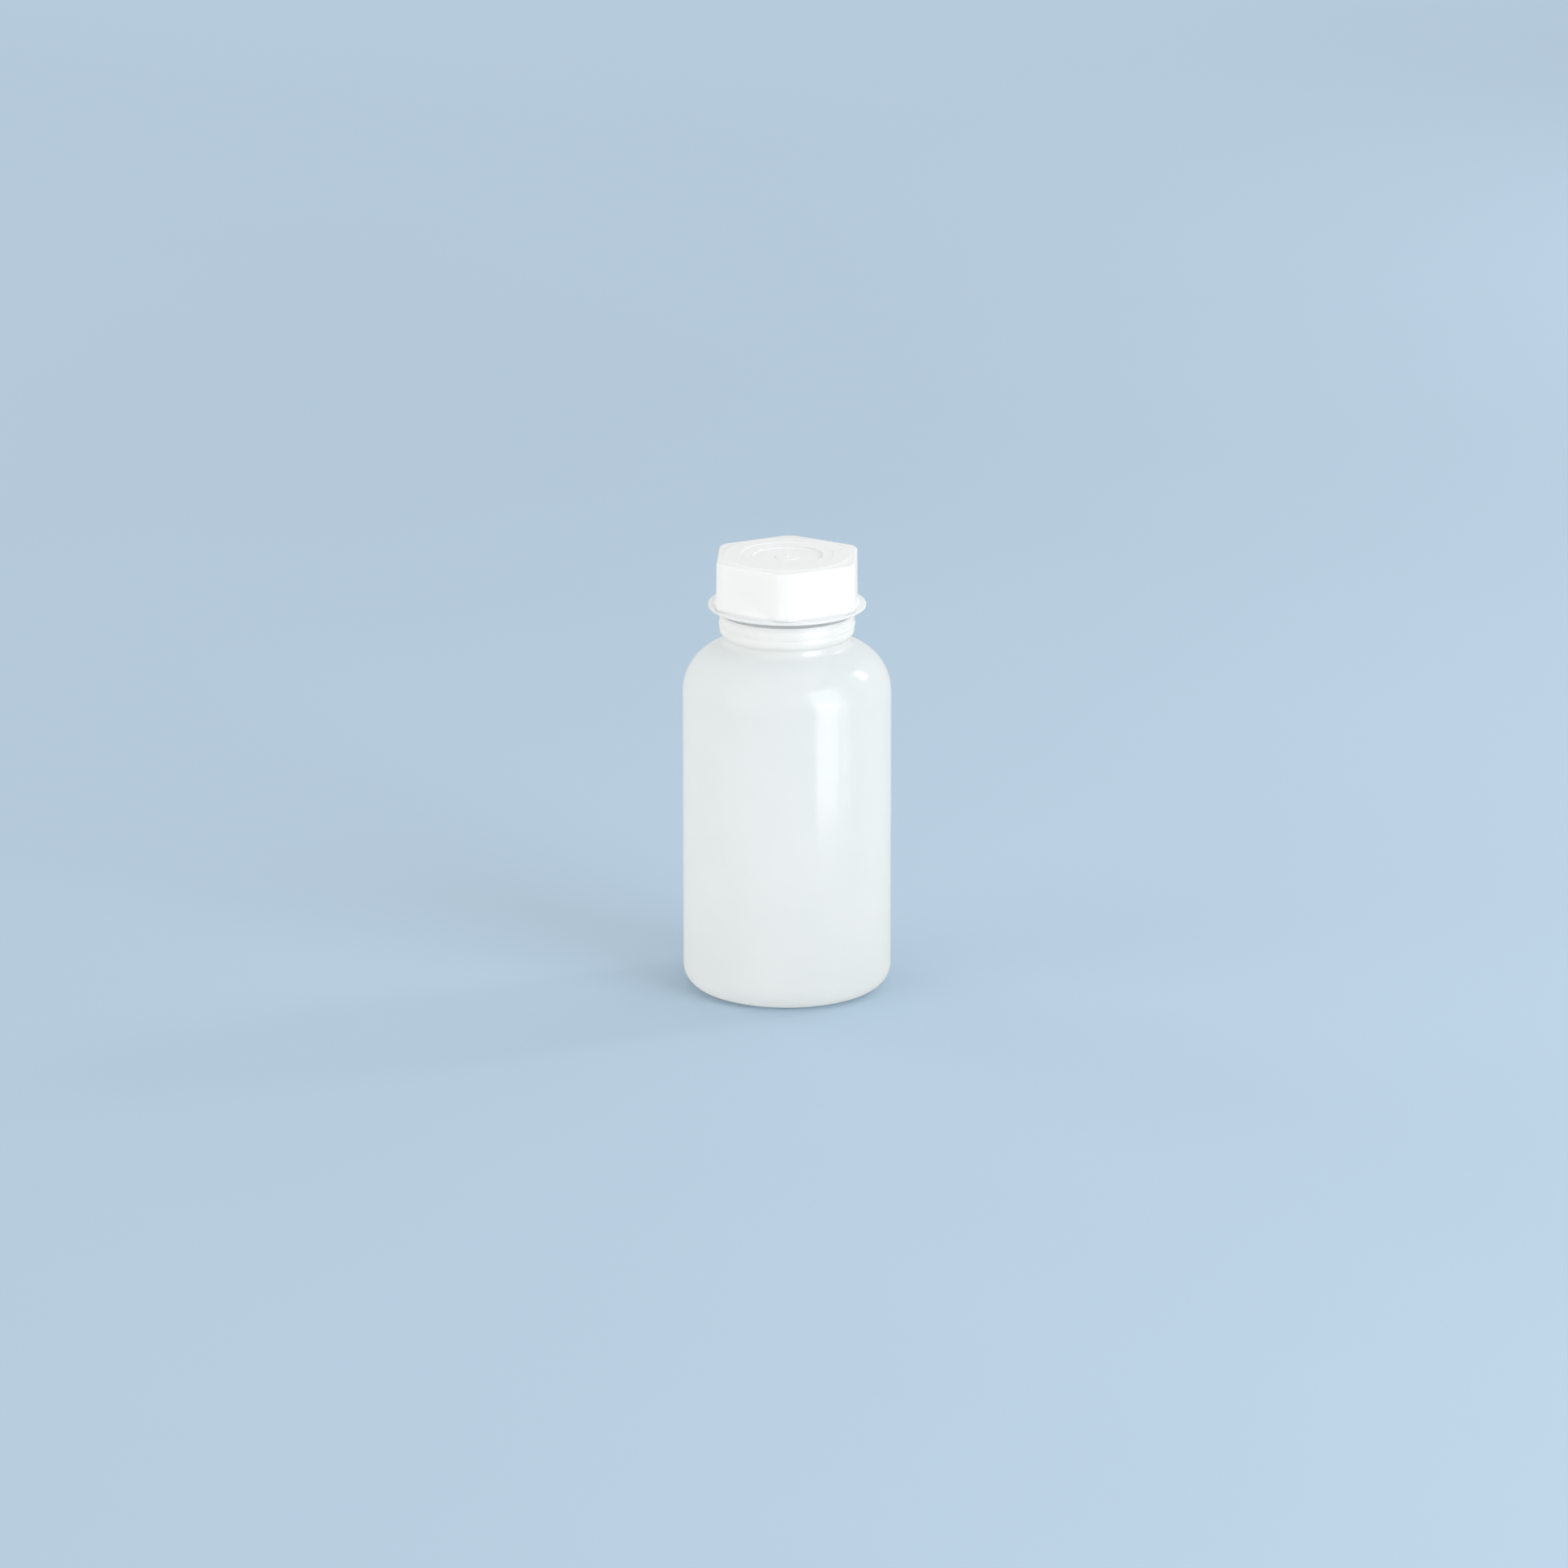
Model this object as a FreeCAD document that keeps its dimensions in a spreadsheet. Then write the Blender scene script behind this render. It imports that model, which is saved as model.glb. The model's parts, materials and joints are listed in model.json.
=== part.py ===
import FreeCAD, Part
import math
import os
import Sketcher

# Wide-mouth plastic bottle with its screw cap, standing closed.
# Millimetres, +Z up, origin at the middle of the ring that the bottle stands on.
# The bottle is one blow moulding and the cap is one injection moulding.

SIZES = {
    # bottle body
    "body_diameter": 76.0,
    "wall": 1.2,
    "base_wall": 1.6,
    "heel_radius": 8.2,
    "foot_width": 2.4,
    "base_rise": 1.6,
    "base_slope": 6.0,
    "shoulder_start": 111.7,
    "shoulder_turn": 80.0,
    # bottle neck, from the mouth down to the waist
    "neck_diameter": 41.6,
    "neck_wall": 1.6,
    "neck_height": 18.8,
    "rim_chamfer": 0.4,
    "collar_proud": 3.8,
    "collar_height": 5.6,
    "collar_fillet": 0.8,
    "flare_rise": 3.5,
    "waist_inset": 1.6,
    "waist_height": 2.8,
    "waist_fillet": 2.6,
    "waist_wall": 1.4,
    "bead_radius": 0.55,
    "bead_proud": 0.25,
    "bead_inset": 0.9,
    "bead_pitch": 3.3,
    # neck thread
    "thread_pitch": 4.0,
    "thread_turns": 2.2,
    "thread_depth": 1.3,
    "thread_foot": 2.4,
    "thread_crest": 0.9,
    "thread_rise": 4.9,
    # cap
    "skirt_wall": 2.85,
    "corner_radius": 6.5,
    "front_corner_turn": 2.4,
    "skirt_draft": 0.4,
    "flange_proud": 3.5,
    "flange_thickness": 1.0,
    "flange_gap": 2.3,
    "scallop_width": 2.3,
    "scallop_height": 4.2,
    "top_edge_fillet": 0.9,
    "disc_inset": 1.2,
    "disc_height": 0.4,
    "disc_chamfer": 0.2,
    "top_thickness": 1.6,
    "ring_diameter": 34.0,
    "ring_depth": 0.3,
    "recess_diameter": 26.0,
    "recess_depth": 0.9,
    "boss_diameter": 9.0,
    "boss_height": 0.3,
    "gate_diameter": 1.2,
    "gate_height": 0.8,
    # how the cap fits the neck
    "seat_gap": 0.1,
    "thread_clearance": 0.35,
    "plug_clearance": 0.25,
    "plug_wall": 1.1,
    "plug_depth": 4.5,
    "plug_taper": 0.5,
}

GRAMS_PER_CUBIC_MM = 0.92e-3

# Two edges count as level, or as equally wide, within this length.
SAME = 1e-4

# Radii worked out from the sheet.
BODY_RADIUS = "(Sizes.body_diameter / 2)"
NECK_RADIUS = "(Sizes.neck_diameter / 2)"
MOUTH_RADIUS = f"({NECK_RADIUS} - Sizes.neck_wall)"
COLLAR_RADIUS = f"({NECK_RADIUS} + Sizes.collar_proud)"
WAIST_RADIUS = f"({COLLAR_RADIUS} - Sizes.waist_inset)"
WAIST_BORE = f"({WAIST_RADIUS} - Sizes.waist_wall)"
SHOULDER_RADIUS = f"(({BODY_RADIUS} - {WAIST_RADIUS}) / (1 - cos(Sizes.shoulder_turn)))"
SHOULDER_CENTRE = f"({BODY_RADIUS} - {SHOULDER_RADIUS})"
THREAD_CREST_RADIUS = f"({NECK_RADIUS} + Sizes.thread_depth)"
CAP_BORE_RADIUS = f"({THREAD_CREST_RADIUS} + Sizes.thread_clearance)"
PLUG_RADIUS = f"({MOUTH_RADIUS} - Sizes.plug_clearance)"
FLATS_RADIUS = f"({CAP_BORE_RADIUS} + Sizes.skirt_wall)"
FLANGE_RADIUS = f"({FLATS_RADIUS} + Sizes.flange_proud)"
DISC_RADIUS = f"({FLATS_RADIUS} - Sizes.disc_inset)"

# Heights worked out from the sheet.
WAIST_BASE = f"(Sizes.shoulder_start + {SHOULDER_RADIUS} * sin(Sizes.shoulder_turn))"
WAIST_TOP = f"({WAIST_BASE} + Sizes.waist_height)"
COLLAR_BASE = f"({WAIST_TOP} + Sizes.flare_rise)"
COLLAR_TOP = f"({COLLAR_BASE} + Sizes.collar_height)"
RIM_HEIGHT = f"({COLLAR_TOP} + Sizes.neck_height)"
THREAD_START = f"({COLLAR_TOP} + Sizes.thread_rise)"
FLANGE_BOTTOM = f"({COLLAR_TOP} + Sizes.flange_gap)"
FLANGE_TOP = f"({FLANGE_BOTTOM} + Sizes.flange_thickness)"
CAP_CEILING = f"({RIM_HEIGHT} + Sizes.seat_gap)"
RECESS_FLOOR = f"({CAP_CEILING} + Sizes.top_thickness)"
DISC_TOP = f"({RECESS_FLOOR} + Sizes.recess_depth + Sizes.ring_depth)"
SKIRT_TOP = f"({DISC_TOP} - Sizes.disc_height)"

doc = FreeCAD.newDocument("wide_mouth_bottle")
sheet = doc.addObject("Spreadsheet::Sheet", "Sizes")
for row, (alias, value) in enumerate(SIZES.items(), start=1):
    sheet.set(f"A{row}", alias)
    sheet.set(f"B{row}", str(value))
    sheet.setAlias(f"B{row}", alias)
doc.recompute()


def number(expression):
    """The present value of an expression on the sheet."""
    return float(sheet.evalExpression(expression))


def new_body(label):
    """A body for one moulded piece, labelled with its node name."""
    body = doc.addObject("PartDesign::Body", label)
    body.Label = label
    return body


def origin_feature(body, role):
    """One of the body's own origin planes or axes."""
    return next(item for item in body.Origin.OriginFeatures if item.Role == role)


def new_sketch(body, name, role, height=None):
    """A sketch on an origin plane, raised to a height above it where one is given."""
    sketch = body.newObject("Sketcher::SketchObject", name)
    sketch.AttachmentSupport = [(origin_feature(body, role), "")]
    sketch.MapMode = "FlatFace"
    if height is not None:
        sketch.setExpression("AttachmentOffset.Base.z", height)
    return sketch


def bound_distance(sketch, kind, geometry, point, expression):
    """Hold a point at a distance from the sketch's origin, tied to the sheet."""
    index = sketch.addConstraint(
        Sketcher.Constraint(kind, -1, 1, geometry, point, number(expression)))
    sketch.setExpression(f"Constraints[{index}]", expression)


def place_point(sketch, geometry, point, across, up):
    """Place one point by its distances from the origin; "0" puts it on an axis."""
    if across == "0":
        sketch.addConstraint(Sketcher.Constraint("PointOnObject", geometry, point, -2))
    elif across is not None:
        bound_distance(sketch, "DistanceX", geometry, point, across)
    if up == "0":
        sketch.addConstraint(Sketcher.Constraint("PointOnObject", geometry, point, -1))
    elif up is not None:
        bound_distance(sketch, "DistanceY", geometry, point, up)


def add_circle(sketch, radius, across="0", up="0"):
    """A circle whose radius and centre are tied to the sheet."""
    centre = FreeCAD.Vector(number(across), number(up), 0)
    axis = FreeCAD.Vector(0, 0, 1)
    circle = sketch.addGeometry(Part.Circle(centre, axis, number(radius)), False)
    if across == "0" and up == "0":
        sketch.addConstraint(Sketcher.Constraint("Coincident", circle, 3, -1, 1))
    else:
        place_point(sketch, circle, 3, across, up)
    index = sketch.addConstraint(Sketcher.Constraint("Radius", circle, number(radius)))
    sketch.setExpression(f"Constraints[{index}]", radius)


def add_profile(sketch, corners, arcs):
    """A closed outline for a revolved shape.

    corners: (radius, height) expressions in order, counter-clockwise.
    arcs: the number of the corner that an arc starts from -> (centre radius,
    centre height, turns left). The ends and the centre's radius hold the arc.
    """
    places = [FreeCAD.Vector(number(across), number(up), 0) for across, up in corners]
    edges = []
    for start, place in enumerate(places):
        end = places[(start + 1) % len(places)]
        if start not in arcs:
            edges.append(sketch.addGeometry(Part.LineSegment(place, end), False))
            continue
        across, up, turns_left = arcs[start]
        centre = FreeCAD.Vector(number(across), number(up), 0)
        first, last = (place, end) if turns_left else (end, place)
        circle = Part.Circle(centre, FreeCAD.Vector(0, 0, 1), (place - centre).Length)
        from_angle = math.atan2(first.y - centre.y, first.x - centre.x)
        to_angle = math.atan2(last.y - centre.y, last.x - centre.x)
        arc = Part.ArcOfCircle(circle, from_angle, to_angle)
        edges.append(sketch.addGeometry(arc, False))
    for start, edge in enumerate(edges):
        following = (start + 1) % len(edges)
        head = 1 if start in arcs and not arcs[start][2] else 2
        tail = 2 if following in arcs and not arcs[following][2] else 1
        sketch.addConstraint(
            Sketcher.Constraint("Coincident", edge, head, edges[following], tail))
    for start, (across, up) in enumerate(corners):
        tail = 2 if start in arcs and not arcs[start][2] else 1
        place_point(sketch, edges[start], tail, across, up)
        if start in arcs:
            place_point(sketch, edges[start], 3, arcs[start][0], None)


def spin(body, kind, name, sketch):
    """Turn a profile right round the vertical axis, to add or to cut."""
    feature = body.newObject(kind, name)
    feature.Profile = sketch
    feature.ReferenceAxis = (origin_feature(body, "Z_Axis"), [""])
    feature.Angle = 360.0
    sketch.Visibility = False
    doc.recompute()
    return feature


def pad(body, name, sketch, length, draft=None):
    """Raise a sketch by a length from the sheet."""
    feature = body.newObject("PartDesign::Pad", name)
    feature.Profile = sketch
    feature.setExpression("Length", length)
    if draft is not None:
        feature.setExpression("TaperAngle", draft)
    doc.recompute()
    return feature


def pocket(body, name, sketch, length, upwards=False):
    """Cut a sketch into the body, down from it or upwards."""
    feature = body.newObject("PartDesign::Pocket", name)
    feature.Profile = sketch
    feature.Reversed = upwards
    feature.setExpression("Length", length)
    doc.recompute()
    return feature


def ring_edges(feature, radius, height):
    """Names of the full circles of one radius at one height."""
    names = []
    for index, edge in enumerate(feature.Shape.Edges, start=1):
        if edge.Degenerated or not isinstance(edge.Curve, Part.Circle):
            continue
        same_radius = math.isclose(edge.Curve.Radius, number(radius), abs_tol=SAME)
        same_height = math.isclose(edge.Curve.Center.z, number(height), abs_tol=SAME)
        if same_radius and same_height:
            names.append(f"Edge{index}")
    return names


def fillet(body, name, base, edges, radius):
    """Round the named edges by a radius from the sheet."""
    feature = body.newObject("PartDesign::Fillet", name)
    feature.Base = (base, edges)
    feature.setExpression("Radius", radius)
    doc.recompute()
    return feature


def chamfer(body, name, base, edges, size):
    """Bevel the named edges by a size from the sheet."""
    feature = body.newObject("PartDesign::Chamfer", name)
    feature.Base = (base, edges)
    feature.setExpression("Size", size)
    doc.recompute()
    return feature


def level_edges(feature, height):
    """Names of the edges that lie at one height."""
    names = []
    for index, edge in enumerate(feature.Shape.Edges, start=1):
        box = edge.BoundBox
        lowest = math.isclose(box.ZMin, number(height), abs_tol=SAME)
        highest = math.isclose(box.ZMax, number(height), abs_tol=SAME)
        if lowest and highest:
            names.append(f"Edge{index}")
    return names


def upright_edges(feature, bottom, top):
    """Names of the straight edges that run from one height to another."""
    names = []
    for index, edge in enumerate(feature.Shape.Edges, start=1):
        box = edge.BoundBox
        from_bottom = math.isclose(box.ZMin, number(bottom), abs_tol=SAME)
        to_top = math.isclose(box.ZMax, number(top), abs_tol=SAME)
        if len(edge.Vertexes) == 2 and from_bottom and to_top:
            names.append(f"Edge{index}")
    return names


# The bottle: body, shoulder, waist, collar and neck in one wall.
HEEL_CENTRE = f"({BODY_RADIUS} - Sizes.heel_radius)"
FOOT_INSIDE = f"({HEEL_CENTRE} - Sizes.foot_width)"
BASE_FLAT = f"({FOOT_INSIDE} - Sizes.base_slope)"
INNER_RADIUS = f"({BODY_RADIUS} - Sizes.wall)"
INNER_HEEL_TOP = "(Sizes.base_wall + Sizes.heel_radius - Sizes.wall)"
INNER_SHOULDER_RADIUS = f"({SHOULDER_RADIUS} - Sizes.wall)"
BORE_BASE = (f"(Sizes.shoulder_start + sqrt({INNER_SHOULDER_RADIUS} ^ 2"
             f" - ({WAIST_BORE} - {SHOULDER_CENTRE}) ^ 2))")
BORE_TOP = f"({COLLAR_TOP} - Sizes.waist_wall)"
BORE_SLOPE = f"({WAIST_BORE} - {MOUTH_RADIUS})"
FLARE_RADIUS = "((Sizes.waist_inset ^ 2 + Sizes.flare_rise ^ 2) / (2 * Sizes.waist_inset))"


def bottle_outside(body):
    """The outer form, from the pushed-up base to the mouth."""
    sketch = new_sketch(body, "bottle_outline", "XZ_Plane")
    corners = [
        ("0", "Sizes.base_rise"),
        (BASE_FLAT, "Sizes.base_rise"),
        (FOOT_INSIDE, "0"),
        (HEEL_CENTRE, "0"),
        (BODY_RADIUS, "Sizes.heel_radius"),
        (BODY_RADIUS, "Sizes.shoulder_start"),
        (WAIST_RADIUS, WAIST_BASE),
        (WAIST_RADIUS, WAIST_TOP),
        (COLLAR_RADIUS, COLLAR_BASE),
        (COLLAR_RADIUS, COLLAR_TOP),
        (NECK_RADIUS, COLLAR_TOP),
        (NECK_RADIUS, RIM_HEIGHT),
        ("0", RIM_HEIGHT),
    ]
    arcs = {
        3: (HEEL_CENTRE, "Sizes.heel_radius", True),
        5: (SHOULDER_CENTRE, "Sizes.shoulder_start", True),
        7: (f"({COLLAR_RADIUS} - {FLARE_RADIUS})", COLLAR_BASE, True),
    }
    add_profile(sketch, corners, arcs)
    return spin(body, "PartDesign::Revolution", "bottle_form", sketch)


def neck_beads(body):
    """Two round beads that run round the collar."""
    sketch = new_sketch(body, "bead_sections", "XZ_Plane")
    across = f"({COLLAR_RADIUS} + Sizes.bead_proud - Sizes.bead_radius)"
    upper = f"({COLLAR_TOP} - Sizes.bead_inset)"
    add_circle(sketch, "Sizes.bead_radius", across, upper)
    add_circle(sketch, "Sizes.bead_radius", across, f"({upper} - Sizes.bead_pitch)")
    spin(body, "PartDesign::Revolution", "beads", sketch)


def neck_thread(body):
    """The rounded ridge that the cap turns on, as a helix round the neck."""
    sketch = new_sketch(body, "thread_section", "XZ_Plane")
    buried = f"({NECK_RADIUS} - Sizes.neck_wall / 2)"
    foot_low = f"({THREAD_START} - Sizes.thread_foot / 2)"
    foot_high = f"({THREAD_START} + Sizes.thread_foot / 2)"
    corners = [
        (buried, foot_low),
        (NECK_RADIUS, foot_low),
        (THREAD_CREST_RADIUS, f"({THREAD_START} - Sizes.thread_crest / 2)"),
        (THREAD_CREST_RADIUS, f"({THREAD_START} + Sizes.thread_crest / 2)"),
        (NECK_RADIUS, foot_high),
        (buried, foot_high),
    ]
    add_profile(sketch, corners, {})
    helix = body.newObject("PartDesign::AdditiveHelix", "thread")
    helix.Profile = sketch
    helix.ReferenceAxis = (origin_feature(body, "Z_Axis"), [""])
    helix.Mode = "pitch-turns-angle"
    helix.setExpression("Pitch", "Sizes.thread_pitch")
    helix.setExpression("Turns", "Sizes.thread_turns")
    sketch.Visibility = False
    doc.recompute()


def bottle_inside(body):
    """The cavity, which follows the outside at the wall's thickness."""
    sketch = new_sketch(body, "cavity_outline", "XZ_Plane")
    floor = "(Sizes.base_rise + Sizes.base_wall)"
    corners = [
        ("0", floor),
        (BASE_FLAT, floor),
        (FOOT_INSIDE, "Sizes.base_wall"),
        (HEEL_CENTRE, "Sizes.base_wall"),
        (INNER_RADIUS, INNER_HEEL_TOP),
        (INNER_RADIUS, "Sizes.shoulder_start"),
        (WAIST_BORE, BORE_BASE),
        (WAIST_BORE, f"({BORE_TOP} - {BORE_SLOPE})"),
        (MOUTH_RADIUS, BORE_TOP),
        (MOUTH_RADIUS, RIM_HEIGHT),
        ("0", RIM_HEIGHT),
    ]
    arcs = {
        3: (HEEL_CENTRE, INNER_HEEL_TOP, True),
        5: (SHOULDER_CENTRE, "Sizes.shoulder_start", True),
    }
    add_profile(sketch, corners, arcs)
    return spin(body, "PartDesign::Groove", "cavity", sketch)


def make_bottle():
    """The blow-moulded bottle."""
    body = new_body("bottle")
    form = bottle_outside(body)
    waist = ring_edges(form, WAIST_RADIUS, WAIST_BASE)
    fillet(body, "waist_fillet", form, waist, "Sizes.waist_fillet")
    neck_beads(body)
    neck_thread(body)
    cavity = bottle_inside(body)
    root = ring_edges(cavity, NECK_RADIUS, COLLAR_TOP)
    collar = fillet(body, "collar_fillet", cavity, root, "Sizes.collar_fillet")
    rim = ring_edges(collar, NECK_RADIUS, RIM_HEIGHT)
    rim += ring_edges(collar, MOUTH_RADIUS, RIM_HEIGHT)
    chamfer(body, "rim_chamfer", collar, rim, "Sizes.rim_chamfer")
    return body


# The cap: a six-sided skirt on a thin flange, with a round top and a sealing plug.
SIDES = 6
SKIRT_HEIGHT = f"({SKIRT_TOP} - {FLANGE_TOP})"
CORNER_REACH = f"({FLATS_RADIUS} / cos(180 / {SIDES}))"
SCALLOP_RADIUS = ("((Sizes.scallop_width ^ 2 + Sizes.scallop_height ^ 2)"
                  " / (2 * Sizes.scallop_width))")


def add_hexagon(sketch):
    """Equal sides between corners on one circle, one corner turned from the front."""
    axis = FreeCAD.Vector(0, 0, 1)
    reach = number(CORNER_REACH)
    ring = sketch.addGeometry(Part.Circle(FreeCAD.Vector(), axis, reach), True)
    sketch.addConstraint(Sketcher.Constraint("Coincident", ring, 3, -1, 1))
    index = sketch.addConstraint(Sketcher.Constraint("Radius", ring, reach))
    sketch.setExpression(f"Constraints[{index}]", CORNER_REACH)
    corners = []
    for side in range(SIDES):
        turn = math.radians(number("Sizes.front_corner_turn") + side * 360 / SIDES)
        corners.append(FreeCAD.Vector(-reach * math.sin(turn), -reach * math.cos(turn), 0))
    sides = []
    for side, corner in enumerate(corners):
        line = Part.LineSegment(corner, corners[(side + 1) % SIDES])
        sides.append(sketch.addGeometry(line, False))
    for side, line in enumerate(sides):
        following = sides[(side + 1) % SIDES]
        sketch.addConstraint(Sketcher.Constraint("Coincident", line, 2, following, 1))
        sketch.addConstraint(Sketcher.Constraint("PointOnObject", line, 1, ring))
        if side:
            sketch.addConstraint(Sketcher.Constraint("Equal", sides[0], line))
    front = f"(-{CORNER_REACH} * sin(Sizes.front_corner_turn))"
    bound_distance(sketch, "DistanceX", sides[0], 1, front)


def cap_skirt(body):
    """The six-sided skirt, drafted, with rounded corners and top edge."""
    outline = new_sketch(body, "skirt_outline", "XY_Plane", FLANGE_TOP)
    add_hexagon(outline)
    skirt = pad(body, "skirt", outline, SKIRT_HEIGHT, "-Sizes.skirt_draft")
    corners = upright_edges(skirt, FLANGE_TOP, SKIRT_TOP)
    rounded = fillet(body, "skirt_corners", skirt, corners, "Sizes.corner_radius")
    brim = level_edges(rounded, SKIRT_TOP)
    fillet(body, "skirt_top_edge", rounded, brim, "Sizes.top_edge_fillet")


def cap_flange(body):
    """The thin round flange and the hollow scallops that the flats run out on."""
    disc = new_sketch(body, "flange_outline", "XY_Plane", FLANGE_BOTTOM)
    add_circle(disc, FLANGE_RADIUS)
    pad(body, "flange", disc, "Sizes.flange_thickness")
    scallop = new_sketch(body, "scallop_outline", "XZ_Plane")
    top = f"({FLANGE_TOP} + Sizes.scallop_height)"
    corners = [
        (CAP_BORE_RADIUS, FLANGE_TOP),
        (f"({FLATS_RADIUS} + Sizes.scallop_width)", FLANGE_TOP),
        (FLATS_RADIUS, top),
        (CAP_BORE_RADIUS, top),
    ]
    arcs = {1: (f"({FLATS_RADIUS} + {SCALLOP_RADIUS})", top, False)}
    add_profile(scallop, corners, arcs)
    spin(body, "PartDesign::Revolution", "scallops", scallop)


def cap_top(body):
    """The raised round top with its stepped recess, centre boss and gate mark."""
    disc = new_sketch(body, "disc_outline", "XY_Plane",
                      f"({SKIRT_TOP} - Sizes.top_edge_fillet)")
    add_circle(disc, DISC_RADIUS)
    raised = pad(body, "disc", disc, "(Sizes.disc_height + Sizes.top_edge_fillet)")
    rim = ring_edges(raised, DISC_RADIUS, DISC_TOP)
    chamfer(body, "disc_edge", raised, rim, "Sizes.disc_chamfer")
    ring = new_sketch(body, "ring_outline", "XY_Plane", DISC_TOP)
    add_circle(ring, "Sizes.ring_diameter / 2")
    pocket(body, "ring_step", ring, "Sizes.ring_depth")
    recess = new_sketch(body, "recess_outline", "XY_Plane", DISC_TOP)
    add_circle(recess, "Sizes.recess_diameter / 2")
    pocket(body, "recess", recess, "(Sizes.ring_depth + Sizes.recess_depth)")
    boss = new_sketch(body, "boss_outline", "XY_Plane", RECESS_FLOOR)
    add_circle(boss, "Sizes.boss_diameter / 2")
    pad(body, "boss", boss, "Sizes.boss_height")
    gate = new_sketch(body, "gate_outline", "XY_Plane", RECESS_FLOOR)
    add_circle(gate, "Sizes.gate_diameter / 2")
    pad(body, "gate", gate, "(Sizes.boss_height + Sizes.gate_height)")


def cap_inside(body):
    """The bore that clears the neck thread, and the plug that seals the mouth."""
    bore = new_sketch(body, "bore_outline", "XY_Plane", FLANGE_BOTTOM)
    add_circle(bore, CAP_BORE_RADIUS)
    pocket(body, "bore", bore, f"({CAP_CEILING} - {FLANGE_BOTTOM})", upwards=True)
    plug = new_sketch(body, "plug_outline", "XZ_Plane")
    tip = f"({CAP_CEILING} - Sizes.plug_depth)"
    inner = f"({PLUG_RADIUS} - Sizes.plug_wall)"
    corners = [
        (inner, tip),
        (f"({PLUG_RADIUS} - Sizes.plug_taper)", tip),
        (PLUG_RADIUS, f"({tip} + Sizes.plug_depth / 2)"),
        (PLUG_RADIUS, CAP_CEILING),
        (inner, CAP_CEILING),
    ]
    add_profile(plug, corners, {})
    spin(body, "PartDesign::Revolution", "plug", plug)


def make_cap():
    """The injection-moulded screw cap, seated on the rim."""
    body = new_body("cap")
    cap_skirt(body)
    cap_flange(body)
    cap_top(body)
    cap_inside(body)
    return body


def check_document():
    """Stop if any feature failed."""
    doc.recompute()
    failed = [item.Name for item in doc.Objects
              if "Invalid" in item.State or "Error" in item.State]
    if failed:
        raise RuntimeError(f"features that failed: {failed}")


def write_pieces(pieces):
    """Check each piece's solid and write it under its node name."""
    for piece in pieces:
        shape = piece.Shape
        if shape.isNull() or not shape.isValid() or len(shape.Solids) != 1:
            raise RuntimeError(f"{piece.Label} is not one valid solid")
    os.makedirs("parts", exist_ok=True)
    for piece in pieces:
        piece.Shape.exportStep(f"parts/{piece.Label}.step")
        grams = piece.Shape.Volume * GRAMS_PER_CUBIC_MM
        print(piece.Label, round(piece.Shape.Volume), "mm3", round(grams, 1), "g")


pieces = [make_bottle(), make_cap()]
check_document()
write_pieces(pieces)
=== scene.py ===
# %% [markdown]
# # A wide-mouth plastic bottle with its screw cap
#
# The object is two mouldings. The bottle is blown from natural polyethylene, so it is
# milky and lets light through. The cap is moulded from the same plastic, and it is
# whiter because it is thicker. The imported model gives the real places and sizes, and
# this file gives the looks: fine outlines, threads, plastic, light and camera.

# %% The frame
import json
import math

import bmesh
import bpy
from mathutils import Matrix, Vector


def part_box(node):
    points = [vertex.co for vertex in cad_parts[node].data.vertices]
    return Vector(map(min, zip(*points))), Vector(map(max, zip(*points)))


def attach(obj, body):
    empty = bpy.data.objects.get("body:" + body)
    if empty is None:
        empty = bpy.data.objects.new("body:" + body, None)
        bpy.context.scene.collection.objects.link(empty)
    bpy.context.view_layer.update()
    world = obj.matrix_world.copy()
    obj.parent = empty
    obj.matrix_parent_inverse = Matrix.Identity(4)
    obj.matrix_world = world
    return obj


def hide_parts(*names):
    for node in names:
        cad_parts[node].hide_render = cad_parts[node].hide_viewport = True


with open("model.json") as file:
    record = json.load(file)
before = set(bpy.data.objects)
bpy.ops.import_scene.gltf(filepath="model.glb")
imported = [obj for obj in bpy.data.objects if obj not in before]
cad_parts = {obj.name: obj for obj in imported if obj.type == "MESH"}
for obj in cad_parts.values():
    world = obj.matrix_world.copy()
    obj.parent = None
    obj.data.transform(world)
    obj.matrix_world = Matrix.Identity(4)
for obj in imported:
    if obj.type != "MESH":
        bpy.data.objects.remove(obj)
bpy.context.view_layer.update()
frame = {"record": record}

# %% [markdown]
# ## Camera
#
# The photograph was taken with a long lens from about 16 degrees above level: the sides
# of the bottle hardly converge. A far camera with a narrow view gives the same shape.

# %% Camera at the photograph's angle
CAMERA_DISTANCE = 3.71
CAMERA_ELEVATION = math.radians(16.25)
CAMERA_TARGET = Vector((-0.0011, 0.0, 0.0760))
SENSOR_WIDTH = 36.0
FRAME_WIDTH = 0.5736

camera_data = bpy.data.cameras.new("camera")
camera_data.sensor_width = SENSOR_WIDTH
camera_data.lens = SENSOR_WIDTH * CAMERA_DISTANCE / FRAME_WIDTH
camera = bpy.data.objects.new("camera", camera_data)
bpy.context.scene.collection.objects.link(camera)
towards_camera = Vector((0, -math.cos(CAMERA_ELEVATION), math.sin(CAMERA_ELEVATION)))
camera.location = CAMERA_TARGET + CAMERA_DISTANCE * towards_camera
camera.rotation_euler = towards_camera.to_track_quat("Z", "Y").to_euler()
bpy.context.scene.camera = camera
bpy.context.scene.view_settings.view_transform = "Standard"
print("lens", round(camera_data.lens, 1), "mm")

# %% [markdown]
# ## A short way to write nodes
#
# Shapes and finishes below are both node trees. This small helper adds a node, sets
# its options, and fills or links its inputs in one line, so that a rule reads almost
# like the formula it stands for.


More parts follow.
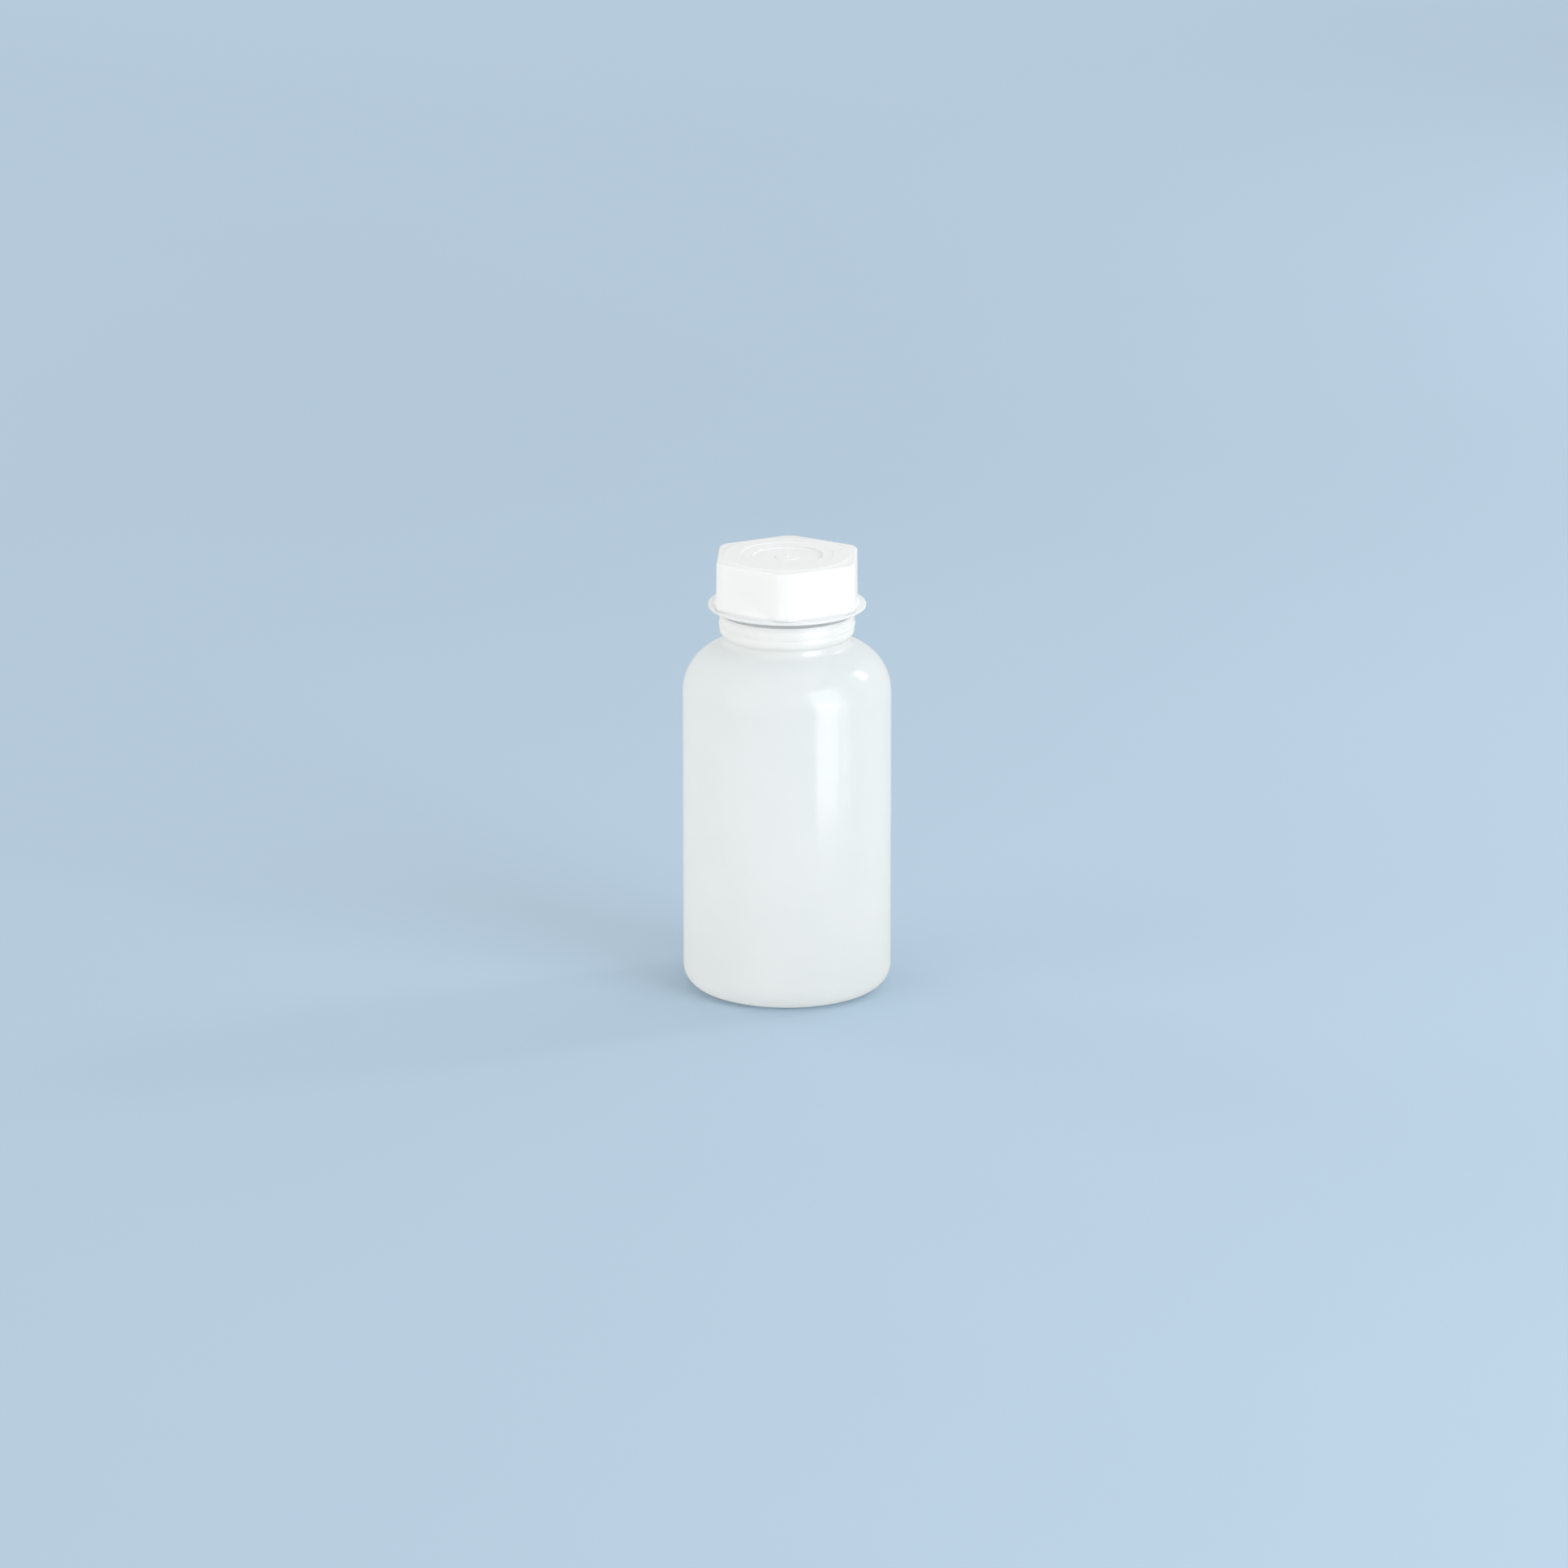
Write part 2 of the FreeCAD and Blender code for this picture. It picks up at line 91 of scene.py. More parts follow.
# %% Helper for node trees
class Graph:
    """Adds nodes to one tree."""

    def __init__(self, tree):
        self.tree = tree

    def feed(self, socket, value):
        """Link a socket to another one, or set its plain value."""
        if isinstance(value, bpy.types.NodeSocket):
            self.tree.links.new(value, socket)
        else:
            socket.default_value = value

    def add(self, kind, inputs=None, **options):
        """A node with its options set and its inputs fed, by name or number."""
        node = self.tree.nodes.new(kind)
        for name, value in options.items():
            setattr(node, name, value)
        for key, value in (inputs or {}).items():
            self.feed(node.inputs[key], value)
        return node

    def math(self, operation, *values):
        """The result of one Math node."""
        inputs = dict(enumerate(values))
        return self.add("ShaderNodeMath", inputs, operation=operation).outputs[0]

    def fade(self, value, start, end, below=0.0, above=1.0):
        """A smooth step, from one value at start to another at end."""
        inputs = {"Value": value, "From Min": start, "From Max": end, "To Min": below, "To Max": above}
        node = self.add("ShaderNodeMapRange", inputs, interpolation_type="SMOOTHSTEP")
        return node.outputs["Result"]

    def split(self, vector):
        """The three parts of a vector, by name: X, Y and Z."""
        return self.add("ShaderNodeSeparateXYZ", {"Vector": vector}).outputs


def tree_inputs(tree, sockets):
    """Named inputs for a node group: name -> (socket type, usual value)."""
    for name, (kind, value) in sockets.items():
        socket = tree.interface.new_socket(name, in_out="INPUT", socket_type=kind)
        if value is not None:
            socket.default_value = value


# %% [markdown]
# ## Outlines
#
# Both mouldings are described by half of their section: a list of corners, each with
# the radius that rounds it. Real mouldings have no sharp corner, and the small
# roundings are what catches the light. They could be bevels on a coarse mesh, but a
# rounding that is worked out here keeps its true radius. A holding point just beyond
# each rounding keeps the flat next to it looking flat.

# %% Rounded outlines
MM = 0.001
HOLD = 0.12 * MM
WIDE_STEP = 20
FINE_STEP = 9
LEAST_STEPS = 3


def corner_reach(corners, index):
    """How far from its corner a rounding starts, and the angle that it turns through."""
    if corners[index][2] == 0:
        return 0.0, 0.0
    back = Vector(corners[index - 1][:2]) - Vector(corners[index][:2])
    on = Vector(corners[index + 1][:2]) - Vector(corners[index][:2])
    turn = math.pi - back.angle(on)
    return corners[index][2] * math.tan(turn / 2), turn


def rounded_outline(corners):
    """Points along an outline whose corners are (across, up, rounding)."""
    reaches = [corner_reach(corners, index) for index in range(len(corners))]
    points = [Vector(corners[0][:2])]
    for index in range(1, len(corners)):
        corner = Vector(corners[index][:2])
        back = Vector(corners[index - 1][:2]) - corner
        straight = back.length - reaches[index - 1][0] - reaches[index][0]
        back.normalize()
        reach, turn = reaches[index]
        start = corner + reach * back
        if straight > 3 * HOLD:
            points += [start + (straight - HOLD) * back, start + HOLD * back]
        if reach == 0:
            points.append(corner)
            continue
        on = (Vector(corners[index + 1][:2]) - corner).normalized()
        rounding = corners[index][2]
        centre = corner + (back + on).normalized() * (rounding / math.cos(turn / 2))
        step_angle = FINE_STEP if rounding > MM else WIDE_STEP
        steps = max(LEAST_STEPS, math.ceil(math.degrees(turn) / step_angle))
        first, last = start - centre, corner + reach * on - centre
        for step in range(steps + 1):
            points.append(centre + rounding * first.slerp(last, step / steps))
    return points


# %% Closer rows where a thread stands
ON_LINE = 0.01 * MM


def with_rows(points, across, spacing):
    """The same outline with close rows added on the straight upright at this distance."""
    result = [points[0]]
    for before, after in zip(points, points[1:]):
        off_line = max(abs(before.x - across), abs(after.x - across))
        height = abs(after.y - before.y)
        if off_line < ON_LINE and height > spacing:
            count = math.ceil(height / spacing)
            for step in range(1, count):
                result.append(before.lerp(after, step / count))
        result.append(after)
    return result


# %% [markdown]
# ## Six sides with rounded corners
#
# The cap is gripped by six flats. In each direction, the distance from the axis to the
# side is either the flat's, which grows towards the corner, or the corner's own arc.
# Worked out as a formula, this needs no boolean and works at every height.

# %% The six-sided group
SIDES = 6


def six_sided_group():
    """How far the side of a rounded hexagon is from the axis, in each direction."""
    tree = bpy.data.node_groups.new("six_sided", "GeometryNodeTree")
    tree_inputs(tree, {"Angle": ("NodeSocketFloat", 0.0), "Flat": ("NodeSocketFloat", 0.02),
                       "Corner": ("NodeSocketFloat", 0.005)})
    tree.interface.new_socket("Radius", in_out="OUTPUT", socket_type="NodeSocketFloat")
    graph = Graph(tree)
    given = graph.add("NodeGroupInput").outputs
    half = math.pi / SIDES
    from_flat = graph.math("ABSOLUTE", graph.math("WRAP", given["Angle"], half, -half))
    along_flat = graph.math("DIVIDE", given["Flat"], graph.math("COSINE", from_flat))
    inset = graph.math("SUBTRACT", given["Flat"], given["Corner"])
    reach = graph.math("DIVIDE", inset, math.cos(half))
    from_corner = graph.math("SUBTRACT", half, from_flat)
    sideways = graph.math("MULTIPLY", reach, graph.math("SINE", from_corner))
    squared = graph.math("SUBTRACT", graph.math("POWER", given["Corner"], 2.0),
                         graph.math("POWER", sideways, 2.0))
    out = graph.math("SQRT", graph.math("MAXIMUM", squared, 0.0))
    inward = graph.math("MULTIPLY", reach, graph.math("COSINE", from_corner))
    on_corner = graph.math("ADD", inward, out)
    flat_way = graph.math("MULTIPLY", given["Flat"], graph.math("TANGENT", from_flat))
    flat_end = graph.math("MULTIPLY", inset, math.tan(half))
    is_corner = graph.math("GREATER_THAN", flat_way, flat_end)
    choice = graph.add("ShaderNodeMix", {0: is_corner, 2: along_flat, 3: on_corner})
    graph.add("NodeGroupOutput", {"Radius": choice.outputs[0]})
    return tree


six_sided = six_sided_group()
print("six-sided group:", len(six_sided.nodes), "nodes")

# %% [markdown]
# ## The thread and the blown wall
#
# A screw thread is a ridge that climbs by one pitch in each turn and fades out at both
# ends. At any place on the wall, the rule asks how far the nearest turn of the ridge is
# above or below. A blown wall is never quite even: it stands out or in by a few
# hundredths of a millimetre in soft, wide patches, which a smooth noise gives.

# %% Rules for the ridge and the unevenness
SWELL_SCALE = 38.0
SWELL_MEAN = 0.5


def thread_ridge(graph, given, angle, height):
    """How far the thread stands out from the wall at this direction and height."""
    pitch = given["Thread Pitch"]
    turn = graph.math("DIVIDE", angle, 2 * math.pi)
    climbed = graph.math("DIVIDE", graph.math("SUBTRACT", height, given["Thread Start"]), pitch)
    whole = graph.math("ROUND", graph.math("SUBTRACT", climbed, turn))
    along = graph.math("ADD", turn, whole)
    off_ridge = graph.math("ABSOLUTE", graph.math("SUBTRACT", climbed, along))
    away = graph.math("MULTIPLY", off_ridge, pitch)
    half_foot = graph.math("MULTIPLY", given["Thread Foot"], 0.5)
    half_crest = graph.math("MULTIPLY", given["Thread Crest"], 0.5)
    ridge = graph.fade(away, half_foot, half_crest)
    lead_in = graph.fade(along, 0.0, given["Thread Fade"])
    run_out_from = graph.math("SUBTRACT", given["Thread Turns"], given["Thread Fade"])
    run_out = graph.fade(along, given["Thread Turns"], run_out_from)
    ends = graph.math("MULTIPLY", lead_in, run_out)
    return graph.math("MULTIPLY", graph.math("MULTIPLY", ridge, ends), given["Thread Depth"])


def blown_swell(graph, spot, angle, amount):
    """The same place, moved outwards or inwards by up to half this amount."""
    noise = graph.add("ShaderNodeTexNoise", {"Vector": spot, "Scale": SWELL_SCALE, "Detail": 1.0})
    swell = graph.math("MULTIPLY", graph.math("SUBTRACT", noise.outputs["Fac"], SWELL_MEAN), amount)
    outward = graph.add("ShaderNodeCombineXYZ", {
        "X": graph.math("COSINE", angle), "Y": graph.math("SINE", angle), "Z": 0.0}).outputs[0]
    push = graph.add("ShaderNodeVectorMath", {0: outward, "Scale": swell}, operation="SCALE")
    return graph.add("ShaderNodeVectorMath", {0: spot, 1: push.outputs[0]}, operation="ADD").outputs[0]


# %% [markdown]
# ## One tree for both mouldings
#
# Everything here is round about one upright axis, or six-sided about it, so a single
# Geometry Nodes tree can make both pieces. It lays a flat sheet of points, one column
# for each direction and one row for each outline point, and bends it round the axis.
# A row may be round, six-sided with rounded corners, or the wider of the two, which is
# how the flats run out on the flange. Spinning a profile would give only the round rows.

# %% The moulding tree
MERGE = 0.001 * MM
BLEND = 0.9 * MM
ROW_MARKS = ("flat", "corner", "threaded", "blown", "inside")
MOULDING_SIZES = {
    "Around": ("NodeSocketInt", 240),
    "Flat Turn": ("NodeSocketFloat", 0.0),
    "Thread Start": ("NodeSocketFloat", 0.0),
    "Thread Pitch": ("NodeSocketFloat", 4 * MM),
    "Thread Turns": ("NodeSocketFloat", 2.0),
    "Thread Depth": ("NodeSocketFloat", 0.0),
    "Thread Foot": ("NodeSocketFloat", 2 * MM),
    "Thread Crest": ("NodeSocketFloat", 1 * MM),
    "Thread Fade": ("NodeSocketFloat", 0.12),
    "Unevenness": ("NodeSocketFloat", 0.0),
    "Outer Material": ("NodeSocketMaterial", None),
    "Inner Material": ("NodeSocketMaterial", None),
}


def dressed(graph, solid, given):
    """The closed, smooth mesh with its outer and inner material."""
    closed = graph.add("GeometryNodeMergeByDistance", {"Geometry": solid, "Distance": MERGE})
    smooth = graph.add("GeometryNodeSetShadeSmooth", {"Geometry": closed.outputs[0]})
    real = graph.add("GeometryNodeRealizeInstances", {"Geometry": smooth.outputs[0]})
    outer = graph.add("GeometryNodeSetMaterial", {
        "Geometry": real.outputs[0], "Material": given["Outer Material"]})
    inside = graph.add("GeometryNodeInputNamedAttribute", {"Name": "inside"}, data_type="FLOAT")
    return graph.add("GeometryNodeSetMaterial", {
        "Geometry": outer.outputs[0], "Material": given["Inner Material"],
        "Selection": graph.math("GREATER_THAN", inside.outputs["Attribute"], 0.5)}).outputs[0]


def moulding_tree():
    """Bends a sheet of points round the axis, one row for each outline point."""
    tree = bpy.data.node_groups.new("turned_moulding", "GeometryNodeTree")
    tree.interface.new_socket("Geometry", in_out="INPUT", socket_type="NodeSocketGeometry")
    tree.interface.new_socket("Geometry", in_out="OUTPUT", socket_type="NodeSocketGeometry")
    tree_inputs(tree, MOULDING_SIZES)
    graph = Graph(tree)
    given = graph.add("NodeGroupInput").outputs
    outline = given["Geometry"]
    rows = graph.add("GeometryNodeAttributeDomainSize", {"Geometry": outline}).outputs["Point Count"]
    sheet = graph.add("GeometryNodeMeshGrid", {
        "Size X": 1.0, "Size Y": 1.0, "Vertices X": graph.math("ADD", given["Around"], 1.0),
        "Vertices Y": rows})
    place = graph.add("GeometryNodeInputPosition").outputs["Position"]
    on_sheet = graph.split(place)
    angle = graph.math("MULTIPLY", graph.math("ADD", on_sheet["X"], 0.5), 2 * math.pi)
    last_row = graph.math("SUBTRACT", rows, 1.0)
    row = graph.math("ROUND", graph.math("MULTIPLY", graph.math("ADD", on_sheet["Y"], 0.5), last_row))

    def from_row(field, kind):
        """A value of the outline, read at this point's row."""
        inputs = {"Geometry": outline, "Value": field, "Index": row}
        return graph.add("GeometryNodeSampleIndex", inputs, data_type=kind).outputs[0]

    def mark(name):
        """One of the outline's own values, read at this point's row."""
        field = graph.add("GeometryNodeInputNamedAttribute", {"Name": name}, data_type="FLOAT")
        return from_row(field.outputs["Attribute"], "FLOAT")

    section = graph.split(from_row(place, "FLOAT_VECTOR"))
    height = section["Z"]
    hexagon = graph.add("GeometryNodeGroup", {
        "Angle": graph.math("SUBTRACT", angle, given["Flat Turn"]), "Flat": mark("flat"),
        "Corner": mark("corner")}, node_tree=six_sided)
    form = graph.math("SMOOTH_MAX", section["X"], hexagon.outputs["Radius"], BLEND)
    radius = graph.math("MULTIPLY", form, graph.math("GREATER_THAN", section["X"], MERGE))
    ridge = graph.math("MULTIPLY", thread_ridge(graph, given, angle, height), mark("threaded"))
    radius = graph.math("ADD", radius, ridge)
    spot = graph.add("ShaderNodeCombineXYZ", {
        "X": graph.math("MULTIPLY", radius, graph.math("COSINE", angle)),
        "Y": graph.math("MULTIPLY", radius, graph.math("SINE", angle)), "Z": height}).outputs[0]
    uneven = graph.math("MULTIPLY", given["Unevenness"], mark("blown"))
    marked = graph.add("GeometryNodeStoreNamedAttribute", {
        "Geometry": sheet.outputs["Mesh"], "Name": "inside", "Value": mark("inside")})
    bent = graph.add("GeometryNodeSetPosition", {
        "Geometry": marked.outputs[0], "Position": blown_swell(graph, spot, angle, uneven)})
    graph.add("NodeGroupOutput", {"Geometry": dressed(graph, bent.outputs[0], given)})
    return tree


turned_moulding = moulding_tree()
print("moulding tree:", len(turned_moulding.nodes), "nodes")


# %% Helpers that mould one piece
def outline_row(point, across=None, **marks):
    """One row for the tree: (across, up, and the row's marks, 0 where none is given)."""
    return (point.x if across is None else across, point.y,
            *(float(marks.get(name, 0.0)) for name in ROW_MARKS))


def mould(name, rows, sizes):
    """A closed mesh of one piece, made by the tree from its rows and sizes."""
    mesh = bpy.data.meshes.new(name + "_outline")
    mesh.from_pydata([(row[0], 0.0, row[1]) for row in rows], [], [])
    for column, key in enumerate(ROW_MARKS, start=2):
        values = mesh.attributes.new(key, "FLOAT", "POINT")
        values.data.foreach_set("value", [row[column] for row in rows])
    outline = bpy.data.objects.new(name + "_outline", mesh)
    bpy.context.scene.collection.objects.link(outline)
    modifier = outline.modifiers.new("mould", "NODES")
    modifier.node_group = turned_moulding
    for item in turned_moulding.interface.items_tree:
        if item.name in sizes:
            modifier[item.identifier] = sizes[item.name]
    depsgraph = bpy.context.evaluated_depsgraph_get()
    solid = bpy.data.meshes.new_from_object(outline.evaluated_get(depsgraph))
    bpy.data.objects.remove(outline)
    shell = bmesh.new()
    shell.from_mesh(solid)
    bmesh.ops.recalc_face_normals(shell, faces=shell.faces)
    volume = shell.calc_volume()
    loose = sum(1 for edge in shell.edges if len(edge.link_faces) != 2)
    shell.to_mesh(solid)
    shell.free()
    solid.name = name
    piece = bpy.data.objects.new(name, solid)
    bpy.context.scene.collection.objects.link(piece)
    triangles = sum(len(face.vertices) - 2 for face in solid.polygons)
    print(name, triangles, "triangles", round(volume * 1e6, 1), "cm3", loose, "open edges")
    return piece


# %% [markdown]
# ## The bottle
#
# The real bottle is blown in one piece: pushed-up base, round heel, straight side, round
# shoulder, waist, collar with two fine beads, and a threaded neck. The wall is the same
# thickness nearly everywhere, so the inside is the outside's outline set in by the wall.
# A Solidify modifier would do that too, but it would copy the beads and the thread to
# the inside, where the real wall is smooth.

# %% Sizes of the bottle
barrel = next(mount for mount in frame["record"]["mounts"] if mount["name"] == "barrel")
SIDE = barrel["dims"]["r_mm"] * MM
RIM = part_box("bottle")[1].z
WALL = 1.2 * MM
BASE_WALL = 1.6 * MM
HEEL = 8.2 * MM
FOOT_WIDTH = 2.4 * MM
BASE_RISE = 1.6 * MM
BASE_SLOPE = 6.0 * MM
SHOULDER_START = 111.7 * MM
SHOULDER_ROUND = 18.15 * MM
WAIST = 23.0 * MM
WAIST_WALL = 1.4 * MM
WAIST_HOLLOW = 2.6 * MM
COLLAR = 24.6 * MM
COLLAR_TOP = RIM - 18.8 * MM
COLLAR_LOW = COLLAR_TOP - 7.5 * MM
COLLAR_UNDERSIDE = 1.5 * MM
BEAD_PROUD = 0.28 * MM
BEAD_HALF = 0.55 * MM
BEAD_FLAT = 0.18 * MM
BEAD_TOP = COLLAR_TOP - 0.9 * MM
BEAD_PITCH = 3.3 * MM
NECK = 20.8 * MM
NECK_SLOPE = 2.4 * MM
MOUTH = 19.2 * MM
LIP = 0.45 * MM
print("bottle side", round(SIDE / MM, 2), "rim", round(RIM / MM, 2))


# %% Outline of the bottle
def shoulder(side, round_radius, waist, hollow):
    """Two corners: the shoulder's big round, and the small hollow where the waist starts."""
    centre = side - round_radius
    turn = math.acos((waist + hollow - centre) / (round_radius + hollow))
    top = SHOULDER_START + round_radius * math.sin(turn)
    across = centre + round_radius * math.cos(turn)
    return [(side, SHOULDER_START + round_radius * math.tan(turn / 2), round_radius),
            (waist, top + (across - waist) / math.tan(turn), hollow)]


def bead(height):
    """Four corners of a round bead on the collar."""
    return [(COLLAR, height - BEAD_HALF, 0.15 * MM),
            (COLLAR + BEAD_PROUD, height - BEAD_FLAT, 0.25 * MM),
            (COLLAR + BEAD_PROUD, height + BEAD_FLAT, 0.25 * MM),
            (COLLAR, height + BEAD_HALF, 0.15 * MM)]


FOOT = SIDE - HEEL - FOOT_WIDTH
outside = [(0.0, BASE_RISE, 0.0), (FOOT - BASE_SLOPE, BASE_RISE, 4 * MM), (FOOT, 0.0, 2 * MM),
           (SIDE, 0.0, HEEL)]
outside += shoulder(SIDE, SHOULDER_ROUND, WAIST, WAIST_HOLLOW)
outside += [(WAIST, COLLAR_LOW - COLLAR_UNDERSIDE, 0.8 * MM), (COLLAR, COLLAR_LOW, 3.6 * MM)]
outside += bead(BEAD_TOP - BEAD_PITCH) + bead(BEAD_TOP)
outside += [(COLLAR, COLLAR_TOP, 0.25 * MM), (NECK, COLLAR_TOP, 0.8 * MM), (NECK, RIM, LIP)]
inside = [(MOUTH, RIM, LIP),
          (MOUTH, COLLAR_TOP - WAIST_WALL, 1.2 * MM),
          (WAIST - WAIST_WALL, COLLAR_TOP - WAIST_WALL - NECK_SLOPE, 1.2 * MM)]
inside += reversed(shoulder(SIDE - WALL, SHOULDER_ROUND - WALL, WAIST - WAIST_WALL,
                            WAIST_HOLLOW + WAIST_WALL))
inside += [(SIDE - WALL, BASE_WALL, HEEL - WALL), (FOOT, BASE_WALL, 2 * MM),
           (FOOT - BASE_SLOPE, BASE_RISE + BASE_WALL, 4 * MM), (0.0, BASE_RISE + BASE_WALL, 0.0)]
print("bottle outline:", len(outside), "corners outside,", len(inside), "inside")

# %% Rows of the bottle
THREAD_ROW = 0.28 * MM
SIDE_ROW = 6.0 * MM
BESIDE = 0.05 * MM
LINING_FROM = 2 * MM

section = rounded_outline(outside + inside)
for upright, spacing in ((SIDE, SIDE_ROW), (SIDE - WALL, SIDE_ROW), (NECK, THREAD_ROW)):
    section = with_rows(section, upright, spacing)
highest = max(section, key=lambda point: point.y)
bottle_rows = []
for number, point in enumerate(section):
    is_inside = number > section.index(highest) and point.y < RIM - LINING_FROM
    on_neck = abs(point.x - NECK) < BESIDE and COLLAR_TOP + MM < point.y < RIM - MM
    on_wall = HEEL < point.y < SHOULDER_START + SHOULDER_ROUND / 2 and point.x > WAIST
    bottle_rows.append(outline_row(point, threaded=on_neck, blown=on_wall, inside=is_inside))
print("bottle outline:", len(bottle_rows), "rows")

# %% [markdown]
# ## The cap
#
# The real cap is one moulding: six flats with soft corners, drafted so that it leaves the
# mould, standing on a thin round flange. The flats run out on the flange in hollow
# scallops. The top has a raised rim with a stepped recess, a low boss and the nib where
# the plastic came in. Inside are the bore with its thread and the plug that seals the
# mouth. Its outline is written in four runs, because only the skirt is six-sided.

# %% Sizes of the cap
cap_low, cap_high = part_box("cap")
FLANGE = cap_high.x
FLANGE_LOW = cap_low.z
FLANGE_HIGH = FLANGE_LOW + 1.0 * MM
FLANGE_EDGE = 0.3 * MM
DISC_TOP = cap_high.z
RING_FLOOR = DISC_TOP - 0.3 * MM
RECESS_FLOOR = RING_FLOOR - 0.9 * MM
BOSS_TOP = RECESS_FLOOR + 0.3 * MM
GATE_TOP = BOSS_TOP + 0.8 * MM
SKIRT_TOP = DISC_TOP - 0.4 * MM
CEILING = RECESS_FLOOR - 1.6 * MM
FLAT = 25.3 * MM
DRAFT = 0.13 * MM
CORNER = 6.5 * MM
TOP_EDGE = 0.9 * MM
SCALLOP_RISE = 4.2 * MM
SCALLOP_REACH = 2.3 * MM
DISC = 24.1 * MM
RING = 17.0 * MM
RECESS = 13.0 * MM
BOSS = 4.5 * MM
GATE = 0.6 * MM
RECESS_SLOPE = 0.5 * MM
RING_SLOPE = 0.3 * MM
DISC_SLOPE = 1.3 * MM
BORE = 22.45 * MM
PLUG = 18.95 * MM
PLUG_INSIDE = 17.85 * MM
PLUG_TIP = CEILING - 4.5 * MM
PLUG_TAPER = 0.5 * MM
PLUG_BELLY = 2.2 * MM
FLAT_TURN = math.radians(-2.4)
print("cap from", round(FLANGE_LOW / MM, 2), "to", round(DISC_TOP / MM, 2))

# %% Outline of the cap: top, flats, then flange with everything under it
top_face = [(0.0, GATE_TOP, 0.0),
            (GATE, GATE_TOP, 0.2 * MM),
            (GATE, BOSS_TOP, 0.3 * MM),
            (BOSS, BOSS_TOP, 0.2 * MM),
            (BOSS, RECESS_FLOOR, 0.2 * MM),
            (RECESS - RECESS_SLOPE, RECESS_FLOOR, 1.2 * MM),
            (RECESS, RING_FLOOR, 0.6 * MM),
            (RING - RING_SLOPE, RING_FLOOR, 0.5 * MM),
            (RING, DISC_TOP, 0.5 * MM),
            (DISC - DISC_SLOPE, DISC_TOP, 2.5 * MM),
            (DISC, SKIRT_TOP, 0.0)]
flats = [(DISC + 0.05 * MM, SKIRT_TOP, 0.0),
         (FLAT - DRAFT, SKIRT_TOP, TOP_EDGE),
         (FLAT, FLANGE_HIGH + SCALLOP_RISE, 0.0)]
flange = [(FLAT + SCALLOP_REACH, FLANGE_HIGH, 0.0),
          (FLANGE, FLANGE_HIGH, FLANGE_EDGE),
          (FLANGE, FLANGE_LOW, FLANGE_EDGE),
          (BORE, FLANGE_LOW, 0.4 * MM),
          (BORE, CEILING, 0.5 * MM),
          (PLUG, CEILING, 0.5 * MM),
          (PLUG, PLUG_TIP + PLUG_BELLY, 2.0 * MM),
          (PLUG - PLUG_TAPER, PLUG_TIP, 0.3 * MM),
          (PLUG_INSIDE, PLUG_TIP, 0.3 * MM),
          (PLUG_INSIDE, CEILING, 0.5 * MM),
          (0.0, CEILING, 0.0)]
print("cap outline:", len(top_face) + len(flats) + len(flange), "corners")

# %% Rows of the cap
SCALLOP_ROWS = 14
SCALLOP_ROUND = (SCALLOP_REACH ** 2 + SCALLOP_RISE ** 2) / (2 * SCALLOP_REACH)
BORE_ROW = 0.32 * MM


def scallop_reach(drop):
    """How far the hollow scallop stands out from the flats, this far below its top."""
    return SCALLOP_ROUND - math.sqrt(SCALLOP_ROUND ** 2 - drop ** 2)


cap_rows = [outline_row(point) for point in rounded_outline(top_face)]
for point in rounded_outline(flats):
    cap_rows.append(outline_row(point, across=MM, flat=point.x, corner=CORNER - (FLAT - point.x)))
for step in range(1, SCALLOP_ROWS):
    drop = SCALLOP_RISE * math.sin(0.5 * math.pi * step / SCALLOP_ROWS)
    point = Vector((FLAT + scallop_reach(drop), FLANGE_HIGH + SCALLOP_RISE - drop))
    cap_rows.append(outline_row(point, flat=FLAT, corner=CORNER))
for point in with_rows(rounded_outline(flange), BORE, BORE_ROW):
    on_bore = abs(point.x - BORE) < BESIDE and FLANGE_LOW + MM < point.y < CEILING - MM
    is_inside = point.x < BORE + 2 * BESIDE
    cap_rows.append(outline_row(point, threaded=on_bore, inside=is_inside))
print("cap outline:", len(cap_rows), "rows")

# %% [markdown]
# ## The plastic
#
# Natural polyethylene is milky: part of the light goes through the wall, part comes back
# from inside it, and a little is mirrored by the smooth skin. No wall is quite even, so
# one node group gives both plastics their faint clouds, their skin and the fine drawn
# lines of moulding, and each material sets how strong they are.

# %% Shared group for the plastic's unevenness
CLOUD_LOW, CLOUD_HIGH = 0.3, 0.7
SKIN_SCALE = 110.0
SKIN_SHARE = 0.3
DRAWN_SCALE = (420.0, 420.0, 9.0)


